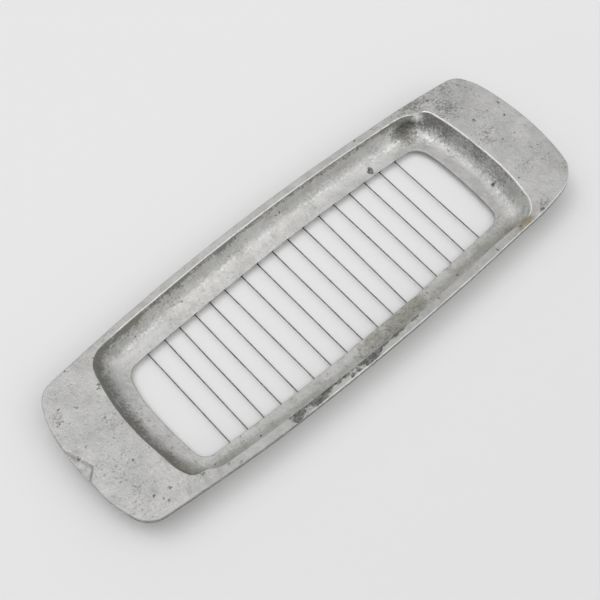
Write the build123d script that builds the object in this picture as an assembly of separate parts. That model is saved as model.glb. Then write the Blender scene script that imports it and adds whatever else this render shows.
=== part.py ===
from build123d import *
import math
import os

# Wire butter slicer: a cast tray-like frame round a long opening, with a row of fine
# steel wires strung across it. Millimetres, +Z up, +X along the frame.
# The origin lies on the flat underside, below the middle of the opening.

# Plan of the frame: every outline is a rounded rectangle whose sides bow outward
frame_length = 204.0
frame_width = 70.6
frame_side_bow = 5.9
frame_end_bow = 4.8
frame_corner_radius = 9.5

# Mouth of the tray, where its sloping walls meet the flat rim
mouth_length = 160.8
mouth_width = 64.8
mouth_side_bow = 3.7
mouth_end_bow = 4.9
mouth_corner_radius = 8.5

# Opening that the butter passes through
opening_length = 139.6
opening_width = 46.8
opening_side_bow = 2.5
opening_end_bow = 1.4
opening_corner_radius = 5.2

# Heights, thicknesses and the slope of the walls from upright, in degrees
tray_depth = 9.6
shelf_thickness = 3.2
lip_thickness = 1.4
lip_overhang = 2.0
rim_thickness = 2.5
wall_thickness = 2.0
wall_slope = 14.0

# Rounded and broken edges of the casting
wall_foot_radius = 4.5
rim_edge_radius = 0.7
mouth_edge_break = 0.35
lip_edge_break = 0.3
base_edge_break = 0.6

# Wires and the saw-cut slots that they lie in
wire_count = 17
wire_pitch = 7.25
wire_diameter = 0.45
wire_clearance = 0.05
slot_width = 0.9
slot_rise = 0.5

# Six-sided ferrules crimped on the wire ends, each in a pocket of the underside
ferrule_width = 1.4
ferrule_length = 2.4
ferrule_setback = 0.3
crimp_clearance = 0.01
pocket_clearance = 0.05
pocket_end_gap = 0.3

# Levels worked out from the sizes above
shelf_top = shelf_thickness
lip_underside = shelf_top - lip_thickness
rim_top = shelf_top + tray_depth
slot_ceiling = lip_underside + slot_rise
wire_height = slot_ceiling - wire_clearance - wire_diameter / 2

# How far the walls draw in from the mouth to the shelf, and their thickness level
wall_run = tray_depth * math.tan(math.radians(wall_slope))
level_wall = wall_thickness / math.cos(math.radians(wall_slope))

# From the middle of a ferrule to its corners, where its width is across the flats
ferrule_corner_radius = ferrule_width / 2 / math.cos(math.radians(30))


# A rounded rectangle with each side bowed outward by an arc, centred on the origin
def bowed_outline(length, width, side_bow, end_bow, corner_radius):
    half_length = length / 2
    half_width = width / 2
    corner_x = half_length - end_bow
    corner_y = half_width - side_bow
    sides = [
        ThreePointArc((-corner_x, corner_y), (0, half_width), (corner_x, corner_y)),
        ThreePointArc((corner_x, corner_y), (half_length, 0), (corner_x, -corner_y)),
        ThreePointArc((corner_x, -corner_y), (0, -half_width), (-corner_x, -corner_y)),
        ThreePointArc((-corner_x, -corner_y), (-half_length, 0), (-corner_x, corner_y)),
    ]
    face = make_face(sides)
    return fillet(face.vertices(), corner_radius)


def mouth_outline(growth):
    return bowed_outline(
        mouth_length + 2 * growth,
        mouth_width + 2 * growth,
        mouth_side_bow,
        mouth_end_bow,
        mouth_corner_radius + growth,
    )


def opening_outline(growth):
    return bowed_outline(
        opening_length + 2 * growth,
        opening_width + 2 * growth,
        opening_side_bow,
        opening_end_bow,
        opening_corner_radius + growth,
    )


# Edges of a solid that lie flat at one level
def edges_at(solid, level):
    return solid.edges().filter_by_position(Axis.Z, level - 0.01, level + 0.01)


# The same, but only those round a hole no larger than the given length and width
def hole_edges_at(solid, level, length, width):
    edges = edges_at(solid, level)
    edges = edges.filter_by(lambda edge: abs(edge.center().X) < length / 2 + 0.01)
    return edges.filter_by(lambda edge: abs(edge.center().Y) < width / 2 + 0.01)


# Flat rim with the two wide ears
def make_rim():
    outline = bowed_outline(
        frame_length, frame_width, frame_side_bow, frame_end_bow, frame_corner_radius
    )
    rim = Pos(0, 0, rim_top - rim_thickness) * extrude(outline, rim_thickness)
    return fillet(edges_at(rim, rim_top), rim_edge_radius)


# Outside of the tray, one wall outside its hollow, drawn in towards the base
def make_tray_outside():
    top_level = rim_top - rim_edge_radius
    growth = level_wall - rim_edge_radius * math.tan(math.radians(wall_slope))
    tray = Pos(0, 0, top_level) * extrude(mouth_outline(growth), -top_level, taper=wall_slope)
    return chamfer(edges_at(tray, 0), base_edge_break)


# Hollow of the tray: sloping walls that turn into the shelf through a wide fillet
def make_tray_hollow():
    hollow = Pos(0, 0, rim_top) * extrude(mouth_outline(0), -tray_depth, taper=wall_slope)
    return fillet(edges_at(hollow, shelf_top), wall_foot_radius)


wire_places = [(i - (wire_count - 1) / 2) * wire_pitch for i in range(wire_count)]


# Half the span of a wire with its ferrules: the ends follow the bowed foot of the wall
def wire_reach(x):
    corner_x = mouth_length / 2 - mouth_end_bow
    bow_radius = (corner_x**2 + mouth_side_bow**2) / (2 * mouth_side_bow)
    mouth_y = mouth_width / 2 - bow_radius + math.sqrt(bow_radius**2 - x**2)
    return mouth_y - wall_run - ferrule_setback


# Box from one place to another along Y, centred on x, standing on the underside
def channel(x, width, start, end, ceiling):
    return Pos(x, (start + end) / 2, ceiling / 2) * Box(width, abs(end - start), ceiling)


# Saw-cut slot across both long sides, open to the underside
def make_slot(x):
    reach = wire_reach(x) - ferrule_length / 2
    return channel(x, slot_width, -reach, reach, slot_ceiling)


# Pocket for one ferrule, open to the underside: its inner end stops the ferrule
def make_pocket(x, side):
    inner = side * (wire_reach(x) - ferrule_length)
    outer = side * (wire_reach(x) + pocket_end_gap)
    width = 2 * (ferrule_corner_radius + pocket_clearance)
    ceiling = wire_height + ferrule_width / 2 + pocket_clearance
    return channel(x, width, inner, outer, ceiling)


def make_frame():
    frame = make_rim() + make_tray_outside() - make_tray_hollow()
    mouth_edges = hole_edges_at(frame, rim_top, mouth_length, mouth_width)
    frame = chamfer(mouth_edges, mouth_edge_break)
    frame -= extrude(opening_outline(0), rim_top)
    frame -= extrude(opening_outline(lip_overhang), lip_underside)
    lip_edges = hole_edges_at(frame, shelf_top, opening_length, opening_width)
    frame = chamfer(lip_edges, lip_edge_break)
    for x in wire_places:
        frame -= make_slot(x)
        for side in (-1, 1):
            frame -= make_pocket(x, side)
    return frame


def make_wire(x):
    wire = Cylinder(wire_diameter / 2, 2 * wire_reach(x))
    return Pos(x, 0, wire_height) * Rot(90, 0, 0) * wire


# Crimped ferrule, six-sided outside and inside, flush with the end of its wire
def make_ferrule(x, side):
    bore_width = wire_diameter + 2 * crimp_clearance
    section = RegularPolygon(ferrule_width / 2, 6, major_radius=False)
    section -= RegularPolygon(bore_width / 2, 6, major_radius=False)
    middle = side * (wire_reach(x) - ferrule_length / 2)
    sleeve = extrude(section, ferrule_length / 2, both=True)
    return Pos(x, middle, wire_height) * Rot(90, 0, 0) * sleeve


parts = {"frame_casting": make_frame()}
for number, x in enumerate(wire_places, start=1):
    parts[f"wire_{number:02d}"] = make_wire(x)
parts["front_wire_ferrules"] = Compound([make_ferrule(x, -1) for x in wire_places])
parts["back_wire_ferrules"] = Compound([make_ferrule(x, 1) for x in wire_places])

os.makedirs("parts", exist_ok=True)
for name, shape in parts.items():
    export_step(shape, f"parts/{name}.step")
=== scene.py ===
import math
import bpy
import bmesh
import numpy as np
from mathutils import Matrix, Vector


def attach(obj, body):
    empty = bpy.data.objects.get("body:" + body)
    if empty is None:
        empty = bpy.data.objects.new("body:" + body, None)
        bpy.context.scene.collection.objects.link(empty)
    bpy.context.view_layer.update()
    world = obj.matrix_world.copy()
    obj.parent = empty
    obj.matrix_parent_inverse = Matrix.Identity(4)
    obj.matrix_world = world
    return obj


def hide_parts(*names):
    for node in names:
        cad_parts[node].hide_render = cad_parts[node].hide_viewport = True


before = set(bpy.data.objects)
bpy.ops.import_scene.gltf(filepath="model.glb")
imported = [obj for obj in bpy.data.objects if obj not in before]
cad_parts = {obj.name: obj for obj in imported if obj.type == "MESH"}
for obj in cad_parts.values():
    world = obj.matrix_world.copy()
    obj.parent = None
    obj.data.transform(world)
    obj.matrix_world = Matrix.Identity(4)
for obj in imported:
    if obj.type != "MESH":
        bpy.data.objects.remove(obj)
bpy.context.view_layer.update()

mm = 0.001
mostOfNoise = (0.3, 0.7)  # nearly all of a noise lies between these


# Small helpers for node trees and pieces
def addNode(tree, kind, inputs=None, **settings):
    node = tree.nodes.new(kind)
    for name, value in settings.items():
        setattr(node, name, value)
    for key, value in (inputs or {}).items():
        socket = node.inputs[key]
        if isinstance(value, bpy.types.NodeSocket):
            tree.links.new(value, socket)
        else:
            socket.default_value = value
    return node


def addMath(tree, operation, first, second=None, third=None, clamp=False):
    values = {i: v for i, v in enumerate((first, second, third)) if v is not None}
    return addNode(tree, "ShaderNodeMath", values, operation=operation, use_clamp=clamp).outputs[0]


def addScaled(tree, value, amount):
    return addMath(tree, "MULTIPLY", value, amount)


def addVector(tree, x, y, z):
    return addNode(tree, "ShaderNodeCombineXYZ", {0: x, 1: y, 2: z}).outputs[0]


def addVectorMath(tree, operation, first, second):
    key = "Scale" if operation == "SCALE" else 1
    return addNode(tree, "ShaderNodeVectorMath", {0: first, key: second}, operation=operation).outputs[0]


def addRange(tree, value, fromMin, fromMax, toMin=0.0, toMax=1.0, smooth=True):
    kind = "SMOOTHSTEP" if smooth else "LINEAR"
    inputs = {"Value": value, "From Min": fromMin, "From Max": fromMax}
    inputs |= {"To Min": toMin, "To Max": toMax}
    return addNode(tree, "ShaderNodeMapRange", inputs, interpolation_type=kind).outputs["Result"]


def addMix(tree, factor, first, second):
    inputs = {"Factor": factor, 6: first, 7: second}  # the sockets 6 and 7 take colours
    return addNode(tree, "ShaderNodeMix", inputs, data_type="RGBA").outputs[2]


def addNoise(tree, place, scale, detail=4.0, roughness=0.6, distortion=0.0):
    inputs = {"Vector": place, "Scale": scale, "Detail": detail, "Roughness": roughness}
    inputs["Distortion"] = distortion
    return addNode(tree, "ShaderNodeTexNoise", inputs).outputs[0]


# A noise whose pattern changes with the seed
def addSeededNoise(tree, place, seed, scale, detail):
    inputs = {"Vector": place, "W": seed, "Scale": scale, "Detail": detail}
    return addNode(tree, "ShaderNodeTexNoise", inputs, noise_dimensions="4D").outputs[0]


# A new tree, its inputs and its one output. A socket is a label, and a kind if it isn't a float
def newTree(name, kind, inputs, outputs):
    tree = bpy.data.node_groups.new(name, kind)
    for side, sockets in (("INPUT", inputs), ("OUTPUT", outputs)):
        for socket in sockets.split():
            label, _, socketKind = socket.partition(":")
            socketKind = "NodeSocket" + (socketKind or "Float")
            tree.interface.new_socket(label, in_out=side, socket_type=socketKind)
    return tree, tree.nodes.new("NodeGroupInput").outputs, tree.nodes.new("NodeGroupOutput").inputs[0]


def socketId(tree, label):
    for item in tree.interface.items_tree:
        if item.item_type == "SOCKET" and item.in_out == "INPUT" and item.name == label:
            return item.identifier


def addPiece(name, mesh):
    piece = bpy.data.objects.new(name, mesh)
    bpy.context.scene.collection.objects.link(piece)
    return piece


# The plain mesh that a modifier makes of a piece. The modifier is then removed
def takeMesh(piece, modifier):
    graph = bpy.context.evaluated_depsgraph_get()
    mesh = bpy.data.meshes.new_from_object(piece.evaluated_get(graph), depsgraph=graph)
    piece.modifiers.remove(modifier)
    return mesh


# Runs a Geometry Nodes tree on a base mesh and keeps the result as a plain mesh
def makeFromTree(name, tree, values, base):
    host = addPiece(name + "Host", base)
    modifier = host.modifiers.new(name, "NODES")
    modifier.node_group = tree
    for label, value in values.items():
        modifier[socketId(tree, label)] = value
    mesh = takeMesh(host, modifier)
    mesh.name = name
    bpy.data.objects.remove(host)
    return mesh


# Ends a tree: realised instances, with the material set
def finishTree(tree, geometry, g, result):
    realised = addNode(tree, "GeometryNodeRealizeInstances", {0: geometry})
    inputs = {"Geometry": realised.outputs[0], "Material": g["Material"]}
    tree.links.new(addNode(tree, "GeometryNodeSetMaterial", inputs).outputs[0], result)


# A mesh from rings of points, in mm, closed along each ring and from the last ring to the first
def meshOfRings(name, points):
    here = np.arange(points[..., 0].size).reshape(points.shape[:2])
    ahead = np.roll(here, -1, 0)
    corners = [here, ahead, np.roll(ahead, -1, 1), np.roll(here, -1, 1)]
    faces = np.stack(corners, axis=-1).reshape(-1, 4)
    mesh = bpy.data.meshes.new(name)
    mesh.from_pydata((points * mm).reshape(-1, 3).tolist(), [], faces.tolist())
    mesh.update()
    return mesh


# Works on all faces of a mesh with one of the operations of bmesh
def reworkMesh(mesh, operation):
    builder = bmesh.new()
    builder.from_mesh(mesh)
    operation(builder, faces=builder.faces)
    builder.to_mesh(mesh)
    builder.free()


def smoothShade(mesh, sharpAngle):
    mesh.shade_smooth()
    mesh.set_sharp_from_angle(angle=math.radians(sharpAngle))


# Stores one number for each point of a mesh
def storeValues(mesh, name, values):
    data = mesh.attributes.new(name, "FLOAT", "POINT").data
    data.foreach_set("value", np.array(values, dtype=np.float32))


# Goes smoothly from 0 at the start to 1 at the stop, which may be the lower one
def smoothStep(value, start, stop):
    t = np.clip((value - start) / (stop - start), 0.0, 1.0)
    return t * t * (3 - 2 * t)


print("materials")

# The two noises, as detail, roughness and distortion, and the levels that a noise must pass
patchForm = {
    "cloud": (5.0, 0.65, 0.3), "specks": (3.0, 0.6, 0.4), "finer": 3.4, "contrast": 1.3,
    "levelForNone": 0.78, "levelForAll": 0.22,
}


# Irregular patches: the higher the coverage, the more of the surface they take, and the higher
# the speckle, the more they break up into fine specks
def makePatchesTree():
    form = patchForm
    sockets = "Vector:Vector Scale Coverage Softness Speckle"
    tree, g, result = newTree("patches", "ShaderNodeTree", sockets, "Mask")
    cloud = addNoise(tree, g["Vector"], g["Scale"], *form["cloud"])
    specks = addNoise(tree, g["Vector"], addScaled(tree, g["Scale"], form["finer"]), *form["specks"])
    both = addMix(tree, g["Speckle"], cloud, specks)
    contrast = form["contrast"]
    both = addMath(tree, "MULTIPLY_ADD", both, contrast, 0.5 - contrast / 2)
    none = form["levelForNone"]
    level = addMath(tree, "MULTIPLY_ADD", g["Coverage"], form["levelForAll"] - none, none)
    low = addMath(tree, "SUBTRACT", level, addScaled(tree, g["Softness"], 0.5))
    mask = addRange(tree, both, low, addMath(tree, "ADD", low, g["Softness"]))
    tree.links.new(mask, result)
    return tree


# How pits are bent out of round, how their sizes and dark cores vary, and how they gather
pitForm = {
    "bend": 3.0, "bendScale": 1.4, "sizes": (0.4, 1.3), "core": 0.4, "driftScale": 0.18,
    "drifts": (0.4, 0.6),
}


# Scattered small pits, drawn out and gathered in drifts
def makePitsTree():
    form = pitForm
    sockets = "Vector:Vector Scale Size Amount"
    tree, g, result = newTree("pits", "ShaderNodeTree", sockets, "Mask")
    bendScale = addScaled(tree, g["Scale"], form["bendScale"])
    inputs = {"Vector": g["Vector"], "Scale": bendScale, "Detail": 2.0}
    bend = addNode(tree, "ShaderNodeTexNoise", inputs).outputs["Color"]
    bend = addVectorMath(tree, "SCALE", bend, form["bend"] * mm)
    place = addVectorMath(tree, "ADD", g["Vector"], bend)
    cells = addNode(tree, "ShaderNodeTexVoronoi", {"Vector": place, "Scale": g["Scale"]})
    chance = addNode(tree, "ShaderNodeSeparateColor", {0: cells.outputs["Color"]})
    size = addRange(tree, chance.outputs[1], 0, 1, *form["sizes"], smooth=False)
    size = addScaled(tree, g["Size"], size)
    dot = addRange(tree, cells.outputs["Distance"], size, addScaled(tree, size, form["core"]))
    drift = addNoise(tree, g["Vector"], addScaled(tree, g["Scale"], form["driftScale"]), 3.0)
    share = addScaled(tree, g["Amount"], addRange(tree, drift, *form["drifts"]))
    chosen = addMath(tree, "GREATER_THAN", chance.outputs[0], addMath(tree, "SUBTRACT", 1.0, share))
    tree.links.new(addScaled(tree, dot, chosen), result)
    return tree


patchesTree = makePatchesTree()
pitsTree = makePitsTree()


def addGroup(tree, group, inputs):
    return addNode(tree, "ShaderNodeGroup", inputs, node_tree=group).outputs[0]


def newMaterial(name):
    material = bpy.data.materials.new(name)
    material.use_nodes = True
    tree = material.node_tree
    place = tree.nodes.new("ShaderNodeTexCoord").outputs["Object"]
    return material, tree, tree.nodes["Principled BSDF"], place


def addBump(tree, shader, height, strength, depth):
    inputs = {"Height": height, "Strength": strength, "Distance": depth * mm}
    tree.links.new(addNode(tree, "ShaderNodeBump", inputs).outputs[0], shader.inputs["Normal"])


# Colours of the casting, and how its patches, pits and rubbed edges lie on it. The white also stands
# for painted highlights and glints, and the soot and smudge colours also for painted shade. Patches are
# given as scale, coverage, softness and speckle, depths in mm
castLooks = {
    "light": (0.55, 0.545, 0.535, 1),
    "middle": (0.46, 0.457, 0.445, 1),
    "warmTint": (0.56, 0.535, 0.525, 1),
    "coolTint": (0.49, 0.505, 0.49, 1),
    "wornAndHighlightWhite": (0.9, 0.9, 0.89, 1),
    "sootAndShade": (0.095, 0.095, 0.085, 1),
    "smudgeAndShade": (0.15, 0.158, 0.145, 1),
    "olive": (0.24, 0.235, 0.175, 1),
    "rust": (0.25, 0.20, 0.11, 1),
    "pit": (0.045, 0.045, 0.04, 1),
    "clouds": (95.0, 0.5, 0.35, 0.25),
    "hueScale": 130.0,
    "warm": (0.52, 0.66, 0.0, 0.45),  # hue noise from and to, share of the tint from and to
    "cool": (0.48, 0.34, 0.0, 0.6),
    "toneGain": 1.2,
    # patches all over: colour, strength and form; the bright ones are painted glints
    "mottling": [
        ("sootAndShade", 0.12, (380.0, 0.34, 0.2, 0.4)),
        ("sootAndShade", 0.12, (190.0, 0.3, 0.25, 0.35)),
        ("wornAndHighlightWhite", 0.25, (480.0, 0.24, 0.16, 0.4)),
    ],
    # patches where the mesh is painted with stains, painted highlights and painted shade: colour,
    # strength, scale, softness and speckle
    "stainsAndPaintedLight": {
        "paintedHighlight": ("wornAndHighlightWhite", 0.7, 310.0, 0.22, 0.65),
        "sootAndShade": ("sootAndShade", 0.68, 330.0, 0.26, 0.7),
        "olive": ("olive", 0.55, 260.0, 0.3, 0.35),
        "rust": ("rust", 0.75, 700.0, 0.25, 0.4),
        "smudgeAndShade": ("smudgeAndShade", 0.85, 430.0, 0.2, 0.5),
    },
    "flecks": (700.0, 0.5, 0.14, 0.3),
    "fleckStrength": 0.75,
    "largePits": {"Scale": 400.0, "Size": 0.21, "Amount": 0.4},
    "smallPits": {"Scale": 800.0, "Size": 0.26, "Amount": 0.45},
    "smallPitDepth": 0.6, "pitStrength": 0.72, "rubScale": 320.0,
    "rubBreaks": (0.3, 0.55, 0.5, 1.0),
    "rubEdge": (0.12, 0.6), "sootDirt": 0.5, "oliveDirt": 0.6, "metallic": 0.65,
    "dirtMetallic": -0.6, "grainScale": 2200.0, "roughness": 0.5, "grainRoughness": 0.08,
    "dirtRoughness": 0.2, "rubRoughness": -0.16, "skin": (700.0, 5.0, 0.7), "skinRelief": 0.9,
    "grainRelief": 0.4, "pitRelief": -0.8, "bumpStrength": 0.75, "bumpDepth": 0.25,
}


def makeCastAluminium():
    looks = castLooks
    material, tree, shader, place = newMaterial("castAluminium")

    def painted(name):
        return addNode(tree, "ShaderNodeAttribute", attribute_name=name).outputs["Fac"]

    def patches(scale, coverage, softness, speckle):
        inputs = {"Vector": place, "Scale": scale, "Coverage": coverage}
        return addGroup(tree, patchesTree, inputs | {"Softness": softness, "Speckle": speckle})

    def pits(form):
        return addGroup(tree, pitsTree, {"Vector": place} | form)

    # lays a colour over what is below it, where the mask says
    def cover(below, mask, strength, name):
        return addMix(tree, addScaled(tree, mask, strength), below, looks[name])

    hue = addNoise(tree, place, looks["hueScale"], 3.0)
    colour = addMix(tree, patches(*looks["clouds"]), looks["light"], looks["middle"])
    colour = addMix(tree, addRange(tree, hue, *looks["warm"]), colour, looks["warmTint"])
    colour = addMix(tree, addRange(tree, hue, *looks["cool"]), colour, looks["coolTint"])
    gain = looks["toneGain"]
    lift = addMath(tree, "MULTIPLY_ADD", painted("tone"), gain, 1 - gain / 2)
    colour = addVectorMath(tree, "SCALE", colour, lift)
    for name, strength, form in looks["mottling"]:
        colour = cover(colour, patches(*form), strength, name)

    masks = {}
    for paintedLayer, (name, strength, scale, softness, speckle) in looks["stainsAndPaintedLight"].items():
        masks[paintedLayer] = patches(scale, painted(paintedLayer), softness, speckle)
        colour = cover(colour, masks[paintedLayer], strength, name)
    flecks = addScaled(tree, masks["smudgeAndShade"], patches(*looks["flecks"]))
    colour = cover(colour, flecks, looks["fleckStrength"], "pit")
    small = addScaled(tree, pits(looks["smallPits"]), looks["smallPitDepth"])
    holes = addMath(tree, "MAXIMUM", pits(looks["largePits"]), small)
    colour = cover(colour, holes, looks["pitStrength"], "pit")
    # rubbed edges, lightened also as painted highlights
    breaks = addRange(tree, addNoise(tree, place, looks["rubScale"]), *looks["rubBreaks"])
    wornEdgeAndHighlight = addRange(tree, addScaled(tree, painted("wornEdgeAndHighlight"), breaks), *looks["rubEdge"])
    colour = addMix(tree, wornEdgeAndHighlight, colour, looks["wornAndHighlightWhite"])
    tree.links.new(colour, shader.inputs["Base Color"])

    # dirt, which also takes in the painted shade, dulls the metal
    olive = addScaled(tree, masks["olive"], looks["oliveDirt"])
    dirtAndShade = addMath(tree, "MAXIMUM", addScaled(tree, masks["sootAndShade"], looks["sootDirt"]), olive)
    dirtAndShade = addMath(tree, "MAXIMUM", dirtAndShade, masks["smudgeAndShade"])
    metallic = addMath(tree, "MULTIPLY_ADD", dirtAndShade, looks["dirtMetallic"], looks["metallic"])
    tree.links.new(metallic, shader.inputs["Metallic"])
    grain = addNoise(tree, place, looks["grainScale"], 3.0)
    middle, spread = looks["roughness"], looks["grainRoughness"]
    rough = addRange(tree, grain, *mostOfNoise, middle - spread, middle + spread)
    rough = addMath(tree, "MULTIPLY_ADD", dirtAndShade, looks["dirtRoughness"], rough)
    rough = addMath(tree, "MULTIPLY_ADD", wornEdgeAndHighlight, looks["rubRoughness"], rough, clamp=True)
    tree.links.new(rough, shader.inputs["Roughness"])

    height = addScaled(tree, grain, looks["grainRelief"])
    skin = addNoise(tree, place, *looks["skin"])
    height = addMath(tree, "MULTIPLY_ADD", skin, looks["skinRelief"], height)
    height = addMath(tree, "MULTIPLY_ADD", holes, looks["pitRelief"], height)
    addBump(tree, shader, height, looks["bumpStrength"], looks["bumpDepth"])
    return material


# The two steels, as light and dark colour, scale and roughness. Painted shade darkens the far ends of
# the wires, where they run into the lip, between two places across the frame. Lengths in mm
steelLooks = {
    "wire": ((0.25, 0.25, 0.25, 1), (0.12, 0.12, 0.115, 1), 300.0, 0.38),
    "ferrule": ((0.45, 0.45, 0.43, 1), (0.17, 0.16, 0.15, 1), 700.0, 0.42),
    "patches": {"Coverage": 0.5, "Softness": 0.3, "Speckle": 0.4},
    "notchShade": (0.03, 0.03, 0.028, 1),
    "notchShadeFrom": 19.5, "notchShadeTo": 22.5, "grainFiner": 5, "smoother": 0.06, "rougher": 0.08,
    "bumpStrength": 0.25, "bumpDepth": 0.03,
}


def makeSteel(name, light, dark, scale, roughness):
    looks = steelLooks
    material, tree, shader, place = newMaterial(name)
    mask = addGroup(tree, patchesTree, {"Vector": place, "Scale": scale} | looks["patches"])
    colour = addMix(tree, mask, light, dark)
    across = addNode(tree, "ShaderNodeSeparateXYZ", {0: place}).outputs[1]
    notchShade = addRange(tree, across, looks["notchShadeFrom"] * mm, looks["notchShadeTo"] * mm)
    colour = addMix(tree, notchShade, colour, looks["notchShade"])
    tree.links.new(colour, shader.inputs["Base Color"])
    grain = addNoise(tree, place, scale * looks["grainFiner"], 3.0)
    least, most = roughness - looks["smoother"], roughness + looks["rougher"]
    rough = addRange(tree, grain, *mostOfNoise, least, most)
    tree.links.new(rough, shader.inputs["Roughness"])
    addBump(tree, shader, grain, looks["bumpStrength"], looks["bumpDepth"])
    shader.inputs["Metallic"].default_value = 1.0
    return material


castAluminium = makeCastAluminium()
wireSteel = makeSteel("wireSteel", *steelLooks["wire"])
ferruleSteel = makeSteel("ferruleSteel", *steelLooks["ferrule"])

print("casting")

# Lengths in mm, angles in degrees. Outlines are length, width, bow of the sides, bow of the ends
# and corner radius
casting = {
    "frame": (204.0, 70.6, 5.9, 4.8, 9.5),
    "mouth": (160.5, 64.5, 3.7, 4.9, 8.5),
    "opening": (139.6, 46.8, 2.5, 1.4, 5.2),
    "shelfTop": 3.2, "lipUnderside": 1.8, "lipOverhang": 2.0, "rimTop": 12.8, "rimThickness": 2.5,
    "wallSlope": 14.0, "wallThickness": 2.0, "footRadius": 4.5, "lipRound": 0.35, "lipBevel": 0.35,
    "lipDraft": 0.05, "mouthRound": 0.3,
    "mouthRoundRun": 1.2,  # where the rounding starts, in radii below the rim
    "rimRound": 0.5, "rimAngles": (78, 0), "rimUnderRound": 0.3, "rimUnderAngles": (-30, -90),
    "rimFootRun": 0.5, "rimFootDrop": 0.3, "baseRound": 0.6, "baseAngles": (-10, -90),
    "baseBevel": 0.25, "sidePoints": 92, "cornerPoints": 28, "endPoints": 36,
    "leastUneven": 0.3,  # share of the unevenness that is left at the foot of the walls
    "dentsFrom": (1.8, 4.0),
    "skin": {
        "Swell": 0.16 * mm, "SwellScale": 70.0, "Ripple": 0.14 * mm, "RippleScale": 260.0, "Seed": 3.0,
    },
    "sharpAngle": 38,
}

# Where this casting leaves its even outlines, in mm: one mouth corner runs out to a point, one
# has slumped, and the ears and the lip aren't quite true. Each push is its place, move and reach
unevenness = {
    "mouth": [
        ((74, -29.5), (0.1, -1.5), (13, 6.5)), ((80, 4), (-1.2, 0), (12, 17)),
        ((72.5, 28.5), (-0.6, -1.3), (4, 3.2)), ((-78, -20), (-0.6, -0.4), (4, 5)),
        ((-72, -28.5), (0.7, 1.3), (3.2, 3)), ((-60, 30), (0, 0.3), (10, 5)),
    ],
    "opening": [
        ((0, 23.4), (0, -0.35), (90, 14)), ((-35, 23), (0, -0.4), (32, 8)),
        ((-68, 18.5), (1.0, -0.3), (5, 6)), ((67, 18.5), (-0.6, -0.4), (4, 4)),
        ((-3.5, -23.4), (0, 0.3), (2, 3)), ((25, -23.2), (0, -0.3), (2.5, 3)),
    ],
    "frame": [
        ((100, 0), (-0.8, 0), (24, 45)), ((80, -31), (0, -1.0), (13, 8)),
        ((60, -33), (0, -0.5), (28, 8)), ((96, -28), (-0.3, 0.5), (5, 5)),
        ((98, 24.5), (-0.35, -0.35), (3, 3)), ((-52, -34), (0, -0.35), (24, 8)),
        ((-97, -27), (0, -0.2), (14, 12)), ((-101.5, -16), (-0.5, 0), (6, 6)),
        ((-101.5, -2), (0.1, 0), (6, 8)), ((-99, 25), (0.5, -0.5), (5, 5)),
        ((73, 32), (0, 0.25), (14, 6)),
    ],
}

# Hollows and swellings of the surface itself, in the same form
dents = [
    ((-99.5, -13, 12.8), (0, 0, -0.3), (3.0, 4.0, 1.8)),
    ((72.4, 26.2, 10.8), (-1.5, -1.5, 0), (2.8, 2.6, 2.0)),
    ((67.5, 27, 7.5), (0.5, 0.7, -0.1), (2.8, 2.2, 2.5)),
    ((-72.5, -26.5, 10.5), (0.4, 0.9, 0), (2.4, 2.2, 2.4)),
]


# One ear's end is worn down behind a ridge, which falls slowly to the far side and steeply to the
# near side, and small lumps are left on what is worn. In mm, with ranges for the random lumps
wornEnd = {
    "ridgeX": -97.7, "ridgeY": -2.3, "farSlope": 0.36, "nearSlope": 1.3, "round": 0.6,
    "depth": 0.95, "run": 1.2, "lumps": 22, "lumpX": (-101.8, -99.4), "lumpY": (-2.5, 8.0),
    "lumpLevel": 11.9, "lumpHeight": (-0.32, 0.4), "lumpLength": (0.5, 0.9),
    "lumpWidth": (0.6, 1.2), "lumpFade": 1.5, "seed": 8,
}


# How far a place lies outside the ridge
def pastRidge(x, y):
    w = wornEnd
    fall = np.where(y > w["ridgeY"], w["farSlope"], w["nearSlope"]) * (y - w["ridgeY"])
    return w["ridgeX"] - np.hypot(fall, w["round"]) + w["round"] - x


# The small lumps, in the same form as the dents
def wornLumps():
    w = wornEnd
    chance = np.random.default_rng(w["seed"])
    lumps = []
    for _ in range(w["lumps"]):
        place = (chance.uniform(*w["lumpX"]), chance.uniform(*w["lumpY"]), w["lumpLevel"])
        move = (0, 0, chance.uniform(*w["lumpHeight"]))
        reach = (chance.uniform(*w["lumpLength"]), chance.uniform(*w["lumpWidth"]), w["lumpFade"])
        lumps.append((place, move, reach))
    return lumps


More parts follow.
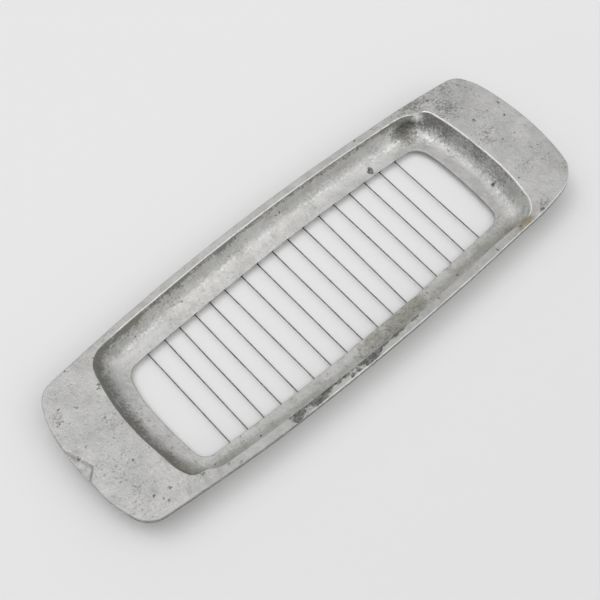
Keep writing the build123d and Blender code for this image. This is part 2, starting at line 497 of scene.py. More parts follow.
# One closed ring of points on a rounded rectangle with bowed sides, in mm
def bowedRing(outline, growth):
    length, width, sideBow, endBow, corner = outline
    halfLength = length / 2 + growth
    halfWidth = width / 2 + growth
    corner += growth
    cornerX = halfLength - endBow
    cornerY = halfWidth - sideBow
    sideRadius = (cornerX**2 + sideBow**2) / (2 * sideBow)
    endRadius = (cornerY**2 + endBow**2) / (2 * endBow)
    sideCentre = np.array([0.0, halfWidth - sideRadius])
    endCentre = np.array([halfLength - endRadius, 0.0])
    # the corner's centre lies one corner radius inside both arcs
    apart = endCentre - sideCentre
    distance = np.hypot(*apart)
    reachA = sideRadius - corner
    reachB = endRadius - corner
    along = (reachA**2 - reachB**2 + distance**2) / (2 * distance)
    across = math.sqrt(reachA**2 - along**2)
    unit = apart / distance
    aside = across * np.array([-unit[1], unit[0]])
    choices = [sideCentre + unit * along + aside * side for side in (1, -1)]
    centre = max(choices, key=lambda c: c[0] + c[1])
    sideEnd = (centre - sideCentre) / reachA
    endEnd = (centre - endCentre) / reachB

    def arc(middle, radius, start, stop, count):
        angles = np.linspace(start, stop, count, endpoint=False)
        return middle + radius * np.stack([np.cos(angles), np.sin(angles)], 1)

    sideAngle = math.atan2(sideEnd[1], sideEnd[0])
    endAngle = math.atan2(endEnd[1], endEnd[0])
    quarter = np.concatenate([
        arc(endCentre, endRadius, 0.0, endAngle, casting["endPoints"]),
        arc(centre, corner, endAngle, sideAngle, casting["cornerPoints"]),
        arc(sideCentre, sideRadius, sideAngle, math.pi / 2, casting["sidePoints"]),
    ])
    top = np.array([[0.0, halfWidth]])
    second = np.concatenate([top, quarter[:0:-1] * [-1, 1]])
    half = np.concatenate([quarter, second])
    return np.concatenate([half, -half])


# How strongly a push or a mark acts on each point: fully at its place, and fading over its reach
def weightAt(points, place, reach):
    return np.exp(-(((points - place) / reach) ** 2).sum(-1))


# The same ring with its unevenness, which fades down the walls
def castRing(name, growth, level):
    c = casting
    ring = bowedRing(c[name], growth)
    moved = ring.copy()
    fade = 1.0
    if name == "mouth":
        height = (level - c["shelfTop"]) / (c["rimTop"] - c["shelfTop"])
        fade = c["leastUneven"] + (1 - c["leastUneven"]) * min(max(height, 0.0), 1.0)
    for place, move, reach in unevenness[name]:
        weight = weightAt(ring, place, reach) * fade
        moved += weight[:, None] * np.array(move)
    return moved


# The section of the casting as stations: outline, growth, level and the steps that lead to it
def castStations():
    c = casting
    slope = math.radians(c["wallSlope"])
    tan = math.tan(slope)
    run = (c["rimTop"] - c["shelfTop"]) * tan
    levelWall = c["wallThickness"] / math.cos(slope)
    tangent = c["footRadius"] * math.tan((math.pi / 2 - slope) / 2)
    stations = []

    def go(outline, growth, level, steps=1):
        stations.append((outline, growth, level, steps))

    # rounds an edge as an arc between two directions, given as angles in the section
    def goRound(outline, growth, level, radius, startAngle, endAngle, steps):
        for i in range(steps + 1):
            angle = math.radians(startAngle + (endAngle - startAngle) * i / steps)
            go(outline, growth + radius * math.cos(angle), level + radius * math.sin(angle))

    lip = c["lipRound"]
    go("opening", c["lipOverhang"], c["lipUnderside"], 2)
    go("opening", c["lipDraft"] + c["lipBevel"], c["lipUnderside"], 3)
    go("opening", c["lipDraft"], c["lipUnderside"] + c["lipBevel"], 1)
    go("opening", 0.0, c["shelfTop"] - lip, 2)
    goRound("opening", lip, c["shelfTop"] - lip, lip, 180, 90, 4)
    go("mouth", -run - tangent, c["shelfTop"], 6)
    # the wide fillet is centred above the shelf
    foot = c["footRadius"]
    goRound("mouth", -run - tangent, c["shelfTop"] + foot, foot, -90, -c["wallSlope"], 12)
    edge = c["mouthRound"]
    below = edge * c["mouthRoundRun"]
    go("mouth", -below * tan, c["rimTop"] - below, 10)
    goRound("mouth", edge, c["rimTop"] - edge, edge, 180 - c["wallSlope"], 90, 5)
    rim = c["rimRound"]
    go("frame", -rim, c["rimTop"], 30)
    goRound("frame", -rim, c["rimTop"] - rim, rim, *c["rimAngles"], 5)
    under = c["rimUnderRound"]
    rimUnderside = c["rimTop"] - c["rimThickness"]
    go("frame", 0.0, rimUnderside + under, 2)
    goRound("frame", -under, rimUnderside + under, under, *c["rimUnderAngles"], 2)
    wallFoot = levelWall - c["rimThickness"] * tan
    go("mouth", wallFoot + c["rimFootRun"], rimUnderside, 12)
    go("mouth", wallFoot, rimUnderside - c["rimFootDrop"], 2)
    base = c["baseRound"]
    baseGrowth = levelWall - c["rimTop"] * tan
    go("mouth", baseGrowth + base * tan, base, 8)
    goRound("mouth", baseGrowth - base, base, base, *c["baseAngles"], 3)
    go("opening", c["lipOverhang"] + c["baseBevel"], 0.0, 6)
    go("opening", c["lipOverhang"], c["baseBevel"], 1)
    return stations


# The mesh of the casting, with one ring of points for each step of the section
def castMesh():
    rows = []
    stations = castStations()
    previous = None
    for outline, growth, level, steps in stations + stations[:1]:
        ring = castRing(outline, growth, level)
        ring = np.column_stack([ring, np.full(len(ring), level)])
        if previous is not None:
            rows += [previous + (ring - previous) * (k + 1) / steps for k in range(steps)]
        previous = ring
    points = np.array(rows)
    past = pastRidge(points[..., 0], points[..., 1])
    worn = casting["rimTop"] - wornEnd["depth"] * smoothStep(past, 0, wornEnd["run"])
    points[..., 2] = np.minimum(points[..., 2], worn)
    # the underside stays flat, so only what lies above it is dented
    loose = smoothStep(points[..., 2], *casting["dentsFrom"])
    for place, move, reach in dents + wornLumps():
        weight = weightAt(points, place, reach) * loose
        points = points + weight[..., None] * np.array(move)
    return meshOfRings("castFrame", points)


# Lets the surface swell, sink and ripple as a casting does, always inwards
def makeCastSkinTree():
    sockets = "Geometry:Geometry Swell SwellScale Ripple RippleScale Seed Ceiling Material:Material"
    tree, g, result = newTree("castSkin", "GeometryNodeTree", sockets, "Geometry:Geometry")
    place = tree.nodes.new("GeometryNodeInputPosition").outputs[0]
    normal = tree.nodes.new("GeometryNodeInputNormal").outputs[0]
    swell = addScaled(tree, addSeededNoise(tree, place, g["Seed"], g["SwellScale"], 2.0), g["Swell"])
    ripple = addScaled(tree, addSeededNoise(tree, place, g["Seed"], g["RippleScale"], 3.0), g["Ripple"])
    depth = addScaled(tree, addMath(tree, "ADD", swell, ripple), -1.0)
    moved = addVectorMath(tree, "ADD", place, addVectorMath(tree, "SCALE", normal, depth))
    parts = addNode(tree, "ShaderNodeSeparateXYZ", {0: moved}).outputs
    moved = addVector(tree, parts[0], parts[1], addMath(tree, "MINIMUM", parts[2], g["Ceiling"]))
    skin = addNode(tree, "GeometryNodeSetPosition", {"Geometry": g["Geometry"], "Position": moved})
    finishTree(tree, skin.outputs[0], g, result)
    return tree


def makeCastFrame():
    values = casting["skin"] | {"Ceiling": casting["rimTop"] * mm, "Material": castAluminium}
    mesh = makeFromTree("castFrame", makeCastSkinTree(), values, castMesh())
    return addPiece("castFrame", mesh)


castFrame = makeCastFrame()

print("wires and ferrules")

# Lengths in mm, angles in degrees
strings = {
    "count": 17, "pitch": 7.25, "radius": 0.225, "height": 2.025, "mouthHalfWidth": 32.4,
    "mouthCorner": 75.5, "mouthBow": 3.7, "setback": 0.3, "jitter": 0.08, "seed": 5,
    # how far the wires have slipped at the far side and at the near side: most of them, and the
    # ones that have slipped furthest
    "slipped": (-0.1, -0.2),
    "askew": {
        1: (0.3, 0.0), 2: (0.6, 0.2), 3: (0.2, -0.3), 5: (-0.4, -0.6), 6: (-0.7, -0.4),
        12: (-0.1, -0.8), 14: (0.0, -0.5), 16: (-0.2, -0.6),
    },
    "askewAt": 18.0, "wireSides": 16, "wireSteps": 28,
    "waver": {"Waver": 0.16 * mm, "WaverScale": 45.0, "Seed": 2.0},
    "slotWidth": 0.9, "slotCeiling": 2.8, "slotStart": 18.0, "slotAt": 24.0, "slotOverlap": 0.2,
    "ferruleLength": 2.4, "ferruleRadius": 0.7, "ferruleSides": 16, "boreRadius": 0.235,
    "crimp": 0.13, "crimpBulge": 0.7,
    # rings of the sleeve: place along half its length, share of its radius, and how far crimped
    "sleeveRings": [
        (-1, 0.9, 0), (-0.94, 1, 0), (-0.72, 1, 0.1), (-0.5, 1, 1), (0, 1, 1), (0.5, 1, 1),
        (0.72, 1, 0.1), (0.94, 1, 0), (1, 0.9, 0),
    ],
    "rolled": {"Roll": 0.12, "Seed": 4},  # in radians, to either side
    "pocketEndGap": 0.3, "pocketWidth": 1.72, "pocketCeiling": 2.775, "cutFloor": -1.0,
    "sharpAngle": 50,
}


# Where each wire runs: its middle, how far it leans per mm across, and its reach, in mm
def wireLines():
    s = strings
    chance = np.random.default_rng(s["seed"])
    bowRadius = (s["mouthCorner"] ** 2 + s["mouthBow"] ** 2) / (2 * s["mouthBow"])
    wallRun = (casting["rimTop"] - casting["shelfTop"]) * math.tan(math.radians(casting["wallSlope"]))
    lines = []
    for i in range(s["count"]):
        x = (i - (s["count"] - 1) / 2) * s["pitch"]
        shift = chance.uniform(-1, 1, 2) * s["jitter"] + s["askew"].get(i + 1, s["slipped"])
        mouth = s["mouthHalfWidth"] - bowRadius + math.sqrt(bowRadius**2 - x * x)
        reach = mouth - wallRun - s["setback"]
        lines.append((x + shift.mean(), (shift[0] - shift[1]) / (2 * s["askewAt"]), reach))
    return lines


def addReading(tree, name):
    return addNode(tree, "GeometryNodeInputNamedAttribute", {"Name": name}, data_type="FLOAT").outputs[0]


# A wire on each point, turned to its lean, stretched to its length and wavering a little
def makeWireTree():
    s = strings
    sockets = "Geometry:Geometry Radius Waver WaverScale Seed Material:Material"
    tree, g, result = newTree("wireRow", "GeometryNodeTree", sockets, "Geometry:Geometry")
    inputs = {"Vertices": s["wireSides"], "Side Segments": s["wireSteps"], "Depth": 2.0}
    inputs["Radius"] = g["Radius"]
    wire = addNode(tree, "GeometryNodeMeshCylinder", inputs).outputs[0]
    turn = addVector(tree, math.pi / 2, 0.0, addReading(tree, "lean"))
    scale = addVector(tree, 1.0, 1.0, addReading(tree, "half"))
    inputs = {"Points": g["Geometry"], "Instance": wire, "Rotation": turn, "Scale": scale}
    wires = addNode(tree, "GeometryNodeInstanceOnPoints", inputs).outputs[0]
    real = addNode(tree, "GeometryNodeRealizeInstances", {0: wires}).outputs[0]
    place = tree.nodes.new("GeometryNodeInputPosition").outputs[0]
    noise = addSeededNoise(tree, place, g["Seed"], g["WaverScale"], 1.0)
    aside = addScaled(tree, addMath(tree, "SUBTRACT", noise, 0.5), g["Waver"])
    inputs = {"Geometry": real, "Offset": addVector(tree, aside, 0.0, 0.0)}
    bent = addNode(tree, "GeometryNodeSetPosition", inputs).outputs[0]
    finishTree(tree, bent, g, result)
    return tree


# Closed sleeve along Y: round at its ends, pressed flat by the crimping tool between them
def sleeveMesh():
    s = strings
    sides = s["ferruleSides"]
    angles = np.linspace(0, 2 * math.pi, sides, endpoint=False)
    half = s["ferruleLength"] / 2
    rings = []

    def addRing(along, wide, high):
        middle = np.full(sides, along * half)
        rings.append(np.column_stack([wide * np.cos(angles), middle, high * np.sin(angles)]))

    for along, share, press in s["sleeveRings"]:
        outer = s["ferruleRadius"] * share
        addRing(along, outer + press * s["crimp"] * s["crimpBulge"], outer - press * s["crimp"])
    for along in (1, -1):
        addRing(along, s["boreRadius"], s["boreRadius"])
    mesh = meshOfRings("sleeve", np.array(rings))
    reworkMesh(mesh, bmesh.ops.recalc_face_normals)
    return mesh


# A sleeve on each point, in line with its wire and rolled a little at random
def makeFerruleTree():
    sockets = "Geometry:Geometry Sleeve:Object Roll Seed:Int Material:Material"
    tree, g, result = newTree("ferruleRow", "GeometryNodeTree", sockets, "Geometry:Geometry")
    sleeve = addNode(tree, "GeometryNodeObjectInfo", {"Object": g["Sleeve"]}).outputs["Geometry"]
    # the sockets 2 and 3 are the least and the most of a random number
    inputs = {2: addScaled(tree, g["Roll"], -1.0), 3: g["Roll"], "Seed": g["Seed"]}
    roll = addNode(tree, "FunctionNodeRandomValue", inputs, data_type="FLOAT").outputs[1]
    turn = addVector(tree, 0.0, roll, addReading(tree, "lean"))
    inputs = {"Points": g["Geometry"], "Instance": sleeve, "Rotation": turn}
    ferrules = addNode(tree, "GeometryNodeInstanceOnPoints", inputs).outputs[0]
    finishTree(tree, ferrules, g, result)
    return tree


# A row as one piece, from one point for each wire or ferrule with its lean and half length
def makeRow(name, tree, values, lines, places, halves):
    row = bpy.data.meshes.new(name + "Row")
    row.from_pydata((np.array(places) * mm).tolist(), [], [])
    storeValues(row, "lean", [-lean for _, lean, _ in lines])
    storeValues(row, "half", np.array(halves) * mm)
    piece = addPiece(name, makeFromTree(name, tree, values, row))
    smoothShade(piece.data, strings["sharpAngle"])
    return piece


def makeWires(lines):
    s = strings
    values = s["waver"] | {"Radius": s["radius"] * mm, "Material": wireSteel}
    places = [(x, 0, s["height"]) for x, _, _ in lines]
    halves = [reach for _, _, reach in lines]
    return makeRow("cuttingWires", makeWireTree(), values, lines, places, halves)


def makeFerrules(name, lines, side, sleeve, tree):
    s = strings
    half = s["ferruleLength"] / 2
    places = []
    for x, lean, reach in lines:
        across = side * (reach - half)
        places.append((x + lean * across, across, s["height"]))
    values = s["rolled"] | {"Sleeve": sleeve, "Material": ferruleSteel}
    return makeRow(name, tree, values, lines, places, [half] * len(lines))


lines = wireLines()
cuttingWires = makeWires(lines)
sleeve = addPiece("sleeve", sleeveMesh())
ferruleTree = makeFerruleTree()
frontFerrules = makeFerrules("frontFerrules", lines, -1, sleeve, ferruleTree)
backFerrules = makeFerrules("backFerrules", lines, 1, sleeve, ferruleTree)
bpy.data.objects.remove(sleeve)


# Box between two places along Y, centred on x, from below the underside up to a ceiling
def addChannel(builder, x, width, places, ceiling):
    low = Vector((x - width / 2, min(places), strings["cutFloor"]))
    high = Vector((x + width / 2, max(places), ceiling))
    matrix = Matrix.Translation((high + low) / 2 * mm) @ Matrix.Diagonal((*((high - low) * mm), 1.0))
    bmesh.ops.create_cube(builder, size=1.0, matrix=matrix)


# Saw-cut slots and ferrule pockets in the underside, each in line with its own wire
def cutSlots(piece, lines):
    s = strings
    # flat faces, so that the cuts leave no slivers
    reworkMesh(piece.data, bmesh.ops.triangulate)
    slots = bmesh.new()
    pockets = bmesh.new()
    for x, lean, reach in lines:
        inner = reach - s["ferruleLength"]
        for side in (-1, 1):
            places = (side * s["slotStart"], side * (inner + s["slotOverlap"]))
            addChannel(slots, x + lean * side * s["slotAt"], s["slotWidth"], places, s["slotCeiling"])
            places = (side * inner, side * (reach + s["pocketEndGap"]))
            addChannel(pockets, x + lean * side * reach, s["pocketWidth"], places, s["pocketCeiling"])
    # one after the other, because boxes that overlap leave slivers
    for builder in (slots, pockets):
        mesh = bpy.data.meshes.new("cuts")
        builder.to_mesh(mesh)
        builder.free()
        cutter = addPiece("cuts", mesh)
        modifier = piece.modifiers.new("cuts", "BOOLEAN")
        modifier.object = cutter
        modifier.operation = "DIFFERENCE"
        modifier.solver = "MANIFOLD"
        piece.data = takeMesh(piece, modifier)
        bpy.data.objects.remove(cutter)
    smoothShade(piece.data, casting["sharpAngle"])


cutSlots(castFrame, lines)

print("wear and stains")

# Stains and bright spots, listed in mm: x, y, the height unless it is the rim's, the reach
# and how much they cover
marks = {
    "sootAndShade": [
        (67.6, 26.6, 7, 4.6, 1.0), (72, 28, 10, 2.5, 0.4), (75, 23, 8, 4.0, 0.3),
        (78.5, 16, 8, 4.0, 0.4), (80, 1, 8, 4.0, 0.3), (79, -10, 7, 4.0, 0.25),
        (-64, 30.5, 11, 6.0, 0.2), (-56, 31, 10.5, 5.0, 0.3), (-38, 33, 11, 7.0, 0.25),
        (-14, 33, 11.5, 5.0, 0.3), (-78.5, 3, 6, 5.0, 0.25), (-77, -12, 6, 4.0, 0.35),
        (79, 28, 6.0, 0.28), (73, 30.5, 4.0, 0.38), (80.5, 20, 4.0, 0.25), (88, 29, 4.0, 0.22),
        (97, -24, 3.5, 0.35), (79, -31, 3.5, 0.45), (-93, -20, 9.0, 0.2), (-97, 18, 4.0, 0.25),
        (22, -25, 4, 6.0, 0.3), (10, -28, 6, 6.0, 0.25), (92, 27, 7.0, 0.05),
        (72.8, 27, 11, 2.6, -1.0), (66, 33, 7.0, 0.3), (-73.6, -27.3, 1.5, 0.5), (-78, -26, 2.0, 0.3),
        (66, -27, 6, 3.0, 0.5), (-75.5, -22.5, 10, 2.6, 0.6), (-4, -27, 6, 4.0, 0.28),
        (3, -26, 5, 5.0, 0.22), (84, 20, 5.0, 0.3), (84, 2, 5.0, 0.28), (86, -14, 5.0, 0.25),
        (92, 8, 7.0, 0.2), (95, 24, 6.0, 0.18), (-66, 34, 7.0, 0.25), (-84, 8, 6.0, 0.2),
        (-90, -6, 6.0, 0.2),
    ],
    "smudgeAndShade": [
        (70.9, 25.8, 9.2, 1.3, 1.1), (67.6, 26.8, 7.4, 3.4, 0.9), (48.5, 24.8, 3.4, 0.8, 2.2),
        (47.9, 23.8, 3.3, 0.9, 2.2), (76.3, -10, 3.8, 0.6, 2.0), (-74.5, -25.5, 12, 1.3, 0.9),
        (-72, -28, 12, 1.0, 0.8), (-39.1, -33.3, 1.7, 0.95), (-36.3, -32.9, 1.7, 0.8),
        (-33.3, -33.2, 1.2, 0.4), (-30.3, -33.4, 1.9, 0.9), (-27.3, -33, 1.6, 0.8),
        (-25, -32.7, 1.6, 0.8), (-20.6, -32.4, 0.9, 0.9), (-17, -32.6, 0.8, 0.8),
        (-15.3, -34, 1.0, 0.7), (-12.6, -33.9, 1.1, 0.75), (-8.5, -33.5, 1.9, 0.85),
        (-5.6, -33.1, 2.1, 0.85), (-2.6, -32.9, 1.7, 0.8), (0.6, -32.6, 1.2, 0.75),
        (5, -32.3, 1.3, 0.7), (8.5, -32.2, 1.1, 0.7), (15, -32.0, 1.0, 0.7), (66, -31.4, 0.9, 0.8),
        (77, -31.9, 1.3, 0.85), (-59, -29.2, 12.5, 1.0, 0.7), (-79, 19, 0.8, 1.0),
        (-20, -31.8, 12.7, 1.1, 0.7), (88, -2, 0.6, 0.9), (96, 5, 0.7, 0.9), (91, 14, 0.5, 0.9),
        (-90, 18, 0.6, 0.8), (-84, -24, 0.8, 0.8), (-87, -27, 0.7, 0.8),
    ],
    "olive": [
        (67.5, 26, 6.5, 4.4, 0.9), (-56, 31, 10.5, 6.0, 0.5), (-38, 32.5, 10.5, 5.0, 0.4),
        (-75, -21, 7, 4.5, 0.8), (-71, -25, 7, 3.0, 0.6), (65, -28, 9, 5.0, 0.8), (66, -32, 5.0, 0.4),
        (58, -32.5, 5.0, 0.25), (57, -27, 8, 5.0, 0.6), (44, -26, 6, 6.0, 0.3),
        (28, -26, 6, 6.0, 0.15), (12, -27, 6, 7.0, 0.4), (2, -26, 5, 5.0, 0.35),
        (21, -25, 4, 5.0, 0.4), (-71, -27, 9, 4.0, 0.7), (-60, -26, 6, 6.0, 0.25),
    ],
    "rust": [
        (68.4, -31.9, 2.0, 0.74), (71.2, -31.4, 1.7, 0.66), (65.4, -32.2, 1.2, 0.5),
    ],
    "tone": [
        # the first one is painted shade that dims the highlight low in the far-left corner of the mouth
        (-70, 23, 4, 7.0, -0.16), (88, 24, 10.0, -0.14), (-74, -18, 8, 7.0, -0.06),
        (94, -18, 11.0, -0.1), (-50, 34, 14.0, -0.06), (36, 27, 3.2, 16.0, -0.06),
        (20, -33, 12.0, -0.06), (27, -27, 5, 9.0, 0.07),
    ],
    # painted highlights: the first two on the lump at the far-right corner of the mouth, the last one
    # takes some away
    "paintedHighlight": [
        (73.2, 26, 11.2, 2.7, 1.2), (71.2, 27.4, 11.6, 1.9, 1.0), (73.5, 20, 5, 4.0, 0.35),
        (62, 28.5, 6, 5.0, 0.35), (73, -22.5, 6, 3.0, 0.5), (-70, 24, 5.5, 7.0, -0.3),
    ],
}

# Zones of the casting, each as steps along an axis that set in from the first place to the second,
# in mm. "apart" is the distance from the middle along X, and "past" the distance past the ridge
zones = {
    "far": [("y", 18, 26), ("apart", 80, 68)],
    "near": [("y", -18, -26)], "left": [("x", -66, -76)], "right": [("x", 66, 76)],
    "leftEar": [("x", -60, -80)], "leftward": [("x", 10, -30)], "rightward": [("x", -40, -30)],
    "offLeftCorner": [("x", -72, -58)], "sides": [("apart", 80, 72)],
    "offNearWall": [("y", -28, -10)], "offNearCorner": [("y", -30, -14)],
    "farther": [("y", -30, 12)], "rim": [("z", 12.1, 12.5)], "high": [("z", 8.8, 11.8)],
    "upper": [("z", 6, 11.5)], "lower": [("z", 9, 6)],
    "foot": [("z", 9.5, 5.5), ("z", 3.15, 4.2)],
    "shelf": [("z", 5, 3.5), ("z", 2, 2.5)],
    "lip": [("z", 2.9, 2.82)],
    "underRim": [("z", 12.5, 11.7), ("z", 9.5, 10.2)],
    "wornFlat": [("past", 0.6, 1.4), ("z", 10.4, 11)],
    "besideRidge": [("y", -8, -5)],
    "brokenPart": [("x", -44, -38), ("x", 20, 12)],
}

# Edges of the rim: outline, growth, depth below the top and reach of what lies along them, in mm
rimEdges = {
    "mouthEdge": ("mouth", 0.1, 0.1, 0.32),
    "mouthSide": ("mouth", 0.4, 0.0, 0.6),
    "rimEdge": ("frame", -0.12, 0.12, 0.32),
}

# How much of each kind of wear, stain and painted light lies on a zone, or where several zones meet
wearAndPaintedLight = {
    "tone": {
        "all": 0.5, "rim": 0.01, "rim rightEar": 0.06, "rim leftEar": -0.05,
        "rim near sides": -0.1, "offRim far sides": 0.22, "shelf right": -0.02, "shelf left": -0.13,
        # 'inner near sides' is painted light: it lightens the fillet at the foot of the near wall
        "shelf near sides": -0.02, "shelf far": -0.09, "inner right": 0.1, "inner near sides": 0.4,
        "inner far sides lower": 0.1, "wornFlat": -0.1,
    },
    "sootAndShade": {
        "all": 0.08, "inner far sides": 0.06, "inner right offNearWall": 0.15, "inner left": 0.47,
        "inner left upper": 0.45, "inner high far": 0.42, "inner high right offNearCorner": 0.2,
        "shelf left farther": 0.16, "shelf right farther": 0.12, "shelf near sides": 0.08,
        # under the near rim's edge and beside the worn ridge the soot is painted shade
        "outer underRim near": 0.6, "outer underRim near leftward": 0.6, "ridge besideRidge rim": 0.3,
    },
    "smudgeAndShade": {"mouthSide near brokenPart": 0.62},
    "olive": {
        "rim near sides": 0.1, "inner near": 0.15, "inner left": 0.3, "offRim near": 0.28,
        "inner high far": 0.4,
    },
    # painted highlights on the feet of the walls and on the shelves
    "paintedHighlight": {
        "foot far": 0.44, "foot right offNear": 0.55, "shelf offNear": 0.1, "inner right near": 0.25,
    },
    "rust": {},
    # rubbed edges, also lightened as painted highlights along the mouth's edge and the near rim's outer
    # edge
    "wornEdgeAndHighlight": {
        "mouthEdge offCorner far offLeftCorner": 0.85, "mouthEdge offCorner right": 0.95,
        "mouthEdge offCorner right far": -0.665, "rimEdge": 0.15, "rimEdge near rightward": 0.6,
    },
}

# What the zones leave out, in mm: a corner of the mouth that isn't rubbed, and painted shade in the
# notches where the wires enter the lip
painting = {
    "halfLength": 80.0, "halfWidth": 32.0, "facingInward": (0.15, 0.8), "rightEarFrom": 70.0,
    "ridgeAt": 0.5, "ridgeReach": 0.5, "cornerAt": (73, 28), "cornerReach": 6.0,
    "cornerAmount": 0.6,
    "lipNotchShade": ((1, 3.0), (-1, 1.0)),  # side and amount
    "lipNotchShadeInside": 0.3, "lipNotchShadeLevel": 2.5, "lipNotchShadeReach": (0.6, 1.5, 0.7),
    "rimMarksFrom": 12.5, "mostSoot": 0.74,
}


# How close each point lies to an edge: 1 on it, fading over the reach, in mm
def nearEdge(points, outline, growth, level, reach):
    ring = castRing(outline, growth, level)
    closest = np.full(len(points), np.inf)
    for edgePoint in np.column_stack([ring, np.full(len(ring), level)]):
        np.minimum(closest, ((points - edgePoint) ** 2).sum(1), out=closest)
    return np.exp(-closest / reach**2)


# How far each point lies in each zone, from 0 to 1
def makeMasks(points, normals):
    p = painting
    x, y, z = points.T
    past = pastRidge(x, y)
    axes = {"x": x, "y": y, "z": z, "apart": np.abs(x), "past": past}
    masks = {"all": np.ones(len(points)), "rightEar": x > p["rightEarFrom"]}
    for name, steps in zones.items():
        masks[name] = math.prod(smoothStep(axes[axis], start, stop) for axis, start, stop in steps)
    outward = np.stack([x / p["halfLength"], (y / p["halfWidth"]) ** 3], 1)
    outward /= np.maximum(np.linalg.norm(outward, axis=1), 1e-6)[:, None]
    masks["inner"] = smoothStep(-(normals[:, :2] * outward).sum(1), *p["facingInward"])
    masks["outer"] = 1 - masks["inner"]
    masks["offRim"] = 1 - masks["rim"]
    masks["offNear"] = 1 - masks["near"]
    masks["ridge"] = np.exp(-((past - p["ridgeAt"]) / p["ridgeReach"]) ** 2)
    masks["offCorner"] = 1 - p["cornerAmount"] * weightAt(points[:, :2], p["cornerAt"], p["cornerReach"])
    for name, (outline, growth, depth, reach) in rimEdges.items():
        masks[name] = nearEdge(points, outline, growth, casting["rimTop"] - depth, reach)
    return masks


# Painted shade in the notch where each wire enters the lip
def lipNotchShade(points, lines):
    p = painting
    length, width, bow = casting["opening"][:3]
    notchShade = np.zeros(len(points))
    for middle, lean, _ in lines:
        for side, amount in p["lipNotchShade"]:
            lip = width / 2 - bow / (length / 2) ** 2 * middle**2
            place = (middle + lean * side * lip, side * (lip + p["lipNotchShadeInside"]), p["lipNotchShadeLevel"])
            notchShade += amount * weightAt(points, place, p["lipNotchShadeReach"])
    return notchShade


# Stores an amount of each kind of wear, stain and painted light at every point, for the material to read
def paintCasting(mesh, lines):
    def read(items, name):
        values = np.empty(len(items) * 3, dtype=np.float32)
        items.foreach_get(name, values)
        return values.reshape(-1, 3).astype(float)

    points = read(mesh.vertices, "co") / mm
    masks = makeMasks(points, read(mesh.vertex_normals, "vector"))
    amounts = {kind: np.zeros(len(points)) for kind in wearAndPaintedLight}
    for kind, terms in wearAndPaintedLight.items():
        for names, amount in terms.items():
            amounts[kind] += amount * math.prod(masks[name] for name in names.split())
    # the painted shade of the lip notches goes in with the smudges
    amounts["smudgeAndShade"] += lipNotchShade(points, lines) * masks["lip"]
    for kind, places in marks.items():
        for x, y, *height, reach, amount in places:
            level = height[0] if height else casting["rimTop"]
            weight = weightAt(points, (x, y, level), reach)
            # a mark on a wall stays off the rim
            if level < painting["rimMarksFrom"]:
                weight *= masks["offRim"]
            amounts[kind] += amount * weight
    amounts["sootAndShade"] = np.minimum(amounts["sootAndShade"], painting["mostSoot"])
    for kind, values in amounts.items():
        storeValues(mesh, kind, np.clip(values, 0, 1))


paintCasting(castFrame.data, lines)

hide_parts("frame_casting")
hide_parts(*[f"wire_{i:02d}" for i in range(1, 18)])
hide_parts("front_wire_ferrules")
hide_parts("back_wire_ferrules")
for piece in (castFrame, cuttingWires, frontFerrules, backFerrules):
    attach(piece, "root")

print("stage")

# The soft boxes are broad glows in the sky: direction, brightness and how tightly they gather
stage = {
    "floorSize": 6.0,
    # the floor is a little darker towards the near side: painted shade of the light falling off
    "floorNear": (0.772, 0.774, 0.774, 1),
    "floorFar": (0.814, 0.816, 0.814, 1),
    "floorFrom": -140.0 * mm, "floorTo": 100.0 * mm, "floorRoughness": 0.9, "sky": 0.34,
    "softBoxes": [((-0.19, 0.28, 0.92), 3.05, 17.0), ((0.12, -0.46, 0.86), 1.54, 6.0)],
}


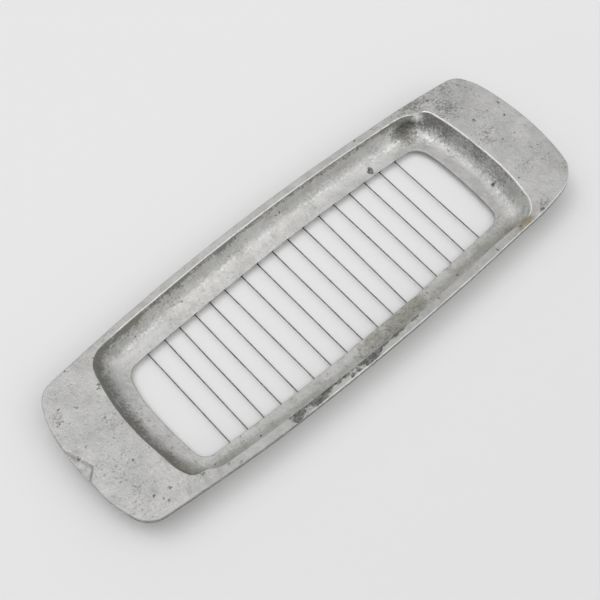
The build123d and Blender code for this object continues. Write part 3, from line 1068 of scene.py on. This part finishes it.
def makeFloor():
    builder = bmesh.new()
    bmesh.ops.create_grid(builder, x_segments=1, y_segments=1, size=stage["floorSize"] / 2)
    mesh = bpy.data.meshes.new("floor")
    builder.to_mesh(mesh)
    builder.free()
    material, tree, shader, place = newMaterial("floorPaper")
    across = addNode(tree, "ShaderNodeSeparateXYZ", {0: place}).outputs[1]
    share = addRange(tree, across, stage["floorFrom"], stage["floorTo"])
    colour = addMix(tree, share, stage["floorNear"], stage["floorFar"])
    tree.links.new(colour, shader.inputs["Base Color"])
    shader.inputs["Roughness"].default_value = stage["floorRoughness"]
    mesh.materials.append(material)
    addPiece("floor", mesh)


def makeSky():
    world = bpy.data.worlds.new("studio")
    bpy.context.scene.world = world
    world.use_nodes = True
    tree = world.node_tree
    direction = tree.nodes.new("ShaderNodeTexCoord").outputs["Generated"]
    level = stage["sky"]
    for place, brightness, gather in stage["softBoxes"]:
        inputs = {0: direction, 1: tuple(Vector(place).normalized())}
        facing = addNode(tree, "ShaderNodeVectorMath", inputs, operation="DOT_PRODUCT").outputs["Value"]
        glow = addMath(tree, "POWER", addMath(tree, "MAXIMUM", facing, 0.0), gather)
        level = addMath(tree, "MULTIPLY_ADD", glow, brightness, level)
    background = tree.nodes["Background"]
    tree.links.new(level, background.inputs["Color"])
    background.inputs["Strength"].default_value = 1.0


# Angles in degrees, the lens and its sensor in mm
view = {
    "azimuth": -41.741, "elevation": 62.017, "roll": 0.338,
    "distance": 475.98 * mm,
    "target": (-5.04 * mm, 3.216 * mm, 0.0),
    "sensor": 36.0, "lens": 82.5018, "clipStart": 0.01,
}


def makeCamera():
    azimuth, elevation, roll = (math.radians(view[k]) for k in ("azimuth", "elevation", "roll"))
    flat = math.cos(elevation)
    back = Vector((math.sin(azimuth) * flat, -math.cos(azimuth) * flat, math.sin(elevation)))
    right = Vector((math.cos(azimuth), math.sin(azimuth), 0.0))
    up = back.cross(right)
    turnedRight = math.cos(roll) * right - math.sin(roll) * up
    turnedUp = math.sin(roll) * right + math.cos(roll) * up
    data = bpy.data.cameras.new("camera")
    data.sensor_width = view["sensor"]
    data.lens = view["lens"]
    data.clip_start = view["clipStart"]
    camera = bpy.data.objects.new("camera", data)
    rotation = Matrix((turnedRight, turnedUp, back)).transposed().to_4x4()
    camera.matrix_world = Matrix.Translation(Vector(view["target"]) + back * view["distance"]) @ rotation
    bpy.context.scene.collection.objects.link(camera)
    bpy.context.scene.camera = camera


makeFloor()
makeSky()
makeCamera()
bpy.context.scene.view_settings.view_transform = "Standard"
